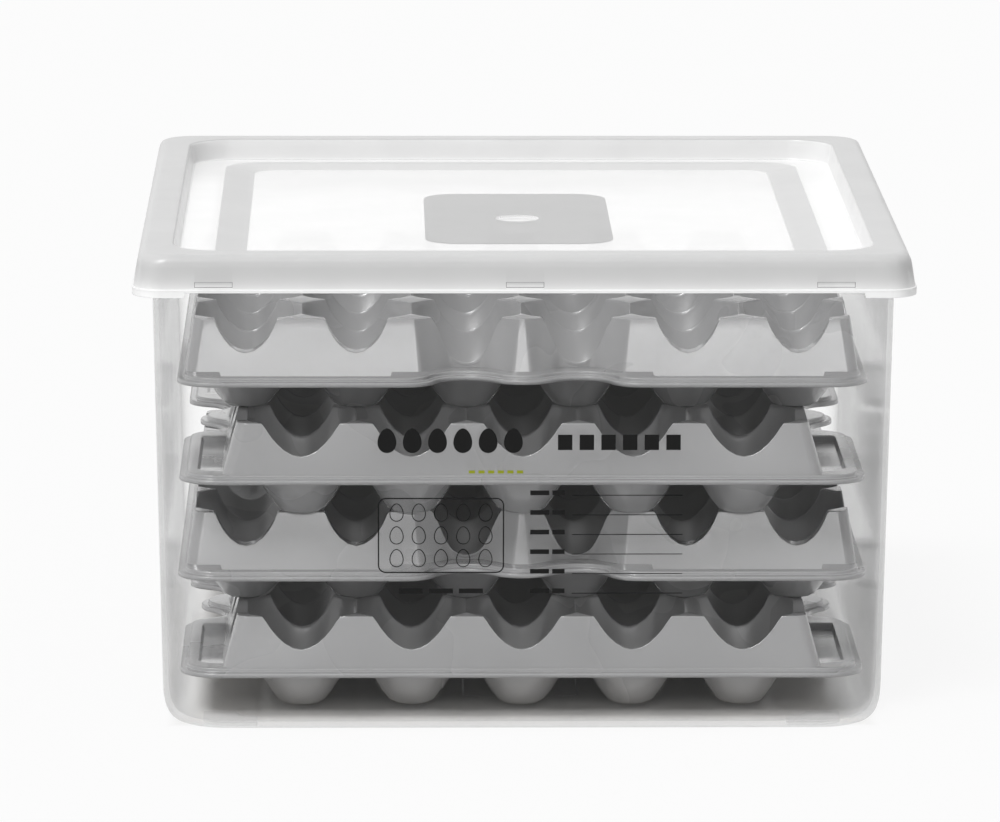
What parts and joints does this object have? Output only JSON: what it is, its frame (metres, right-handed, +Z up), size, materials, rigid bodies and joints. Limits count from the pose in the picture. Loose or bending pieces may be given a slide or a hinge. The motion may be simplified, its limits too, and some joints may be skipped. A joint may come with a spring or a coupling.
{
  "type": "egg storage container",
  "caption": "Clear stackable food box with a close-fitting lid, filled with grey egg trays that stand crosswise on each other.",
  "frame": {"origin": "middle of the footprint, on the plane of the feet that the box stands on", "axes": "+Z up, the box's narrower front face towards -Y, its width along X"},
  "size_m": [0.325, 0.354, 0.2043],
  "materials": {
    "clear_box": "clear, slightly milky moulded polypropylene",
    "frosted_lid": "translucent moulded polypropylene with frosted bands",
    "grey_tray": "semi-gloss grey moulded plastic"
  },
  "bodies": {
    "container": {"container": "clear_box"},
    "egg_tray_4": {"egg_tray_4": "grey_tray"},
    "egg_tray_3": {"egg_tray_3": "grey_tray"},
    "egg_tray_2": {"egg_tray_2": "grey_tray"},
    "egg_tray_1": {"egg_tray_1": "grey_tray"},
    "lid": {"lid": "frosted_lid"}
  },
  "joints": [
    {"name": "egg_tray_4_lift", "type": "slide", "parent": "container", "child": "egg_tray_4", "axis": [0, 0, 1], "range_m": [0, 0.22]},
    {"name": "egg_tray_3_lift", "type": "slide", "parent": "egg_tray_4", "child": "egg_tray_3", "axis": [0, 0, 1], "range_m": [0, 0.18]},
    {"name": "egg_tray_2_lift", "type": "slide", "parent": "egg_tray_3", "child": "egg_tray_2", "axis": [0, 0, 1], "range_m": [0, 0.14]},
    {"name": "egg_tray_1_lift", "type": "slide", "parent": "egg_tray_2", "child": "egg_tray_1", "axis": [0, 0, 1], "range_m": [0, 0.1]},
    {"name": "lid_lift", "type": "slide", "parent": "egg_tray_1", "child": "lid", "axis": [0, 0, 1], "range_m": [0, 0.12]}
  ]
}
